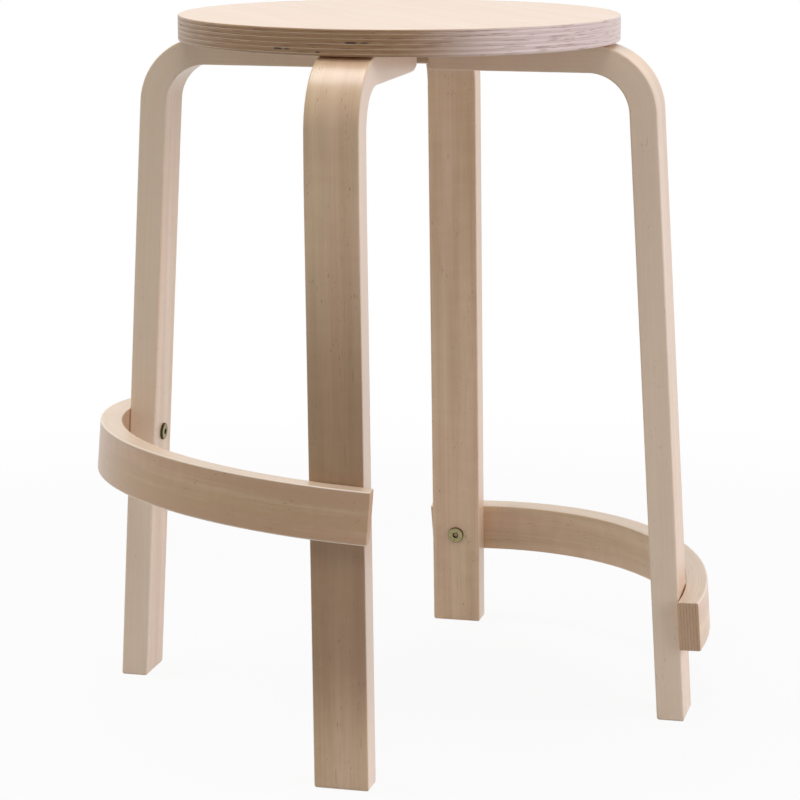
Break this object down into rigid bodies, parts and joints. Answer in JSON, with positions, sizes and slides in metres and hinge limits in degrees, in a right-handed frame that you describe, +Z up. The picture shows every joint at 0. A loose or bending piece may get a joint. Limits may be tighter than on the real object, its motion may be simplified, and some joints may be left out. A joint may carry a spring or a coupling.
{
  "type": "stacking stool",
  "caption": "Counter-height stacking stool: round plywood seat on splayed bent-wood legs, with curved laminated footrests bolted outside neighbouring legs at staggered heights.",
  "frame": {"origin": "on the floor, under the centre of the round seat; the bounding box's centre is a few millimetres off, because the lower footrest stands out further than the upper one", "axes": "+Z up; the four arms lie along the axes, with -Y towards the front leg, -X towards the left leg, +X towards the right leg and +Y towards the rear leg"},
  "size_m": [0.5466, 0.5466, 0.61],
  "materials": {
    "seat_plywood": "birch plywood, clear matt lacquer",
    "leg_birch": "bent birch, clear matt lacquer",
    "footrest_birch": "laminated birch, clear matt lacquer",
    "yellow_zinc": "yellow passivated zinc",
    "insert_steel": "bright zinc",
    "screw_steel": "zinc"
  },
  "bodies": {
    "root": {"seat": "seat_plywood", "leg_front": "leg_birch", "leg_left": "leg_birch", "leg_right": "leg_birch", "leg_rear": "leg_birch", "footrest_upper": "footrest_birch", "footrest_lower": "footrest_birch", "footrest_bolt_front": "yellow_zinc", "threaded_insert_front": "insert_steel", "seat_screw_front_inner": "screw_steel", "seat_screw_front_middle": "screw_steel", "seat_screw_front_outer": "screw_steel", "footrest_bolt_left": "yellow_zinc", "threaded_insert_left": "insert_steel", "seat_screw_left_inner": "screw_steel", "seat_screw_left_middle": "screw_steel", "seat_screw_left_outer": "screw_steel", "footrest_bolt_right": "yellow_zinc", "threaded_insert_right": "insert_steel", "seat_screw_right_inner": "screw_steel", "seat_screw_right_middle": "screw_steel", "seat_screw_right_outer": "screw_steel", "footrest_bolt_rear": "yellow_zinc", "threaded_insert_rear": "insert_steel", "seat_screw_rear_inner": "screw_steel", "seat_screw_rear_middle": "screw_steel", "seat_screw_rear_outer": "screw_steel"}
  },
  "joints": []
}
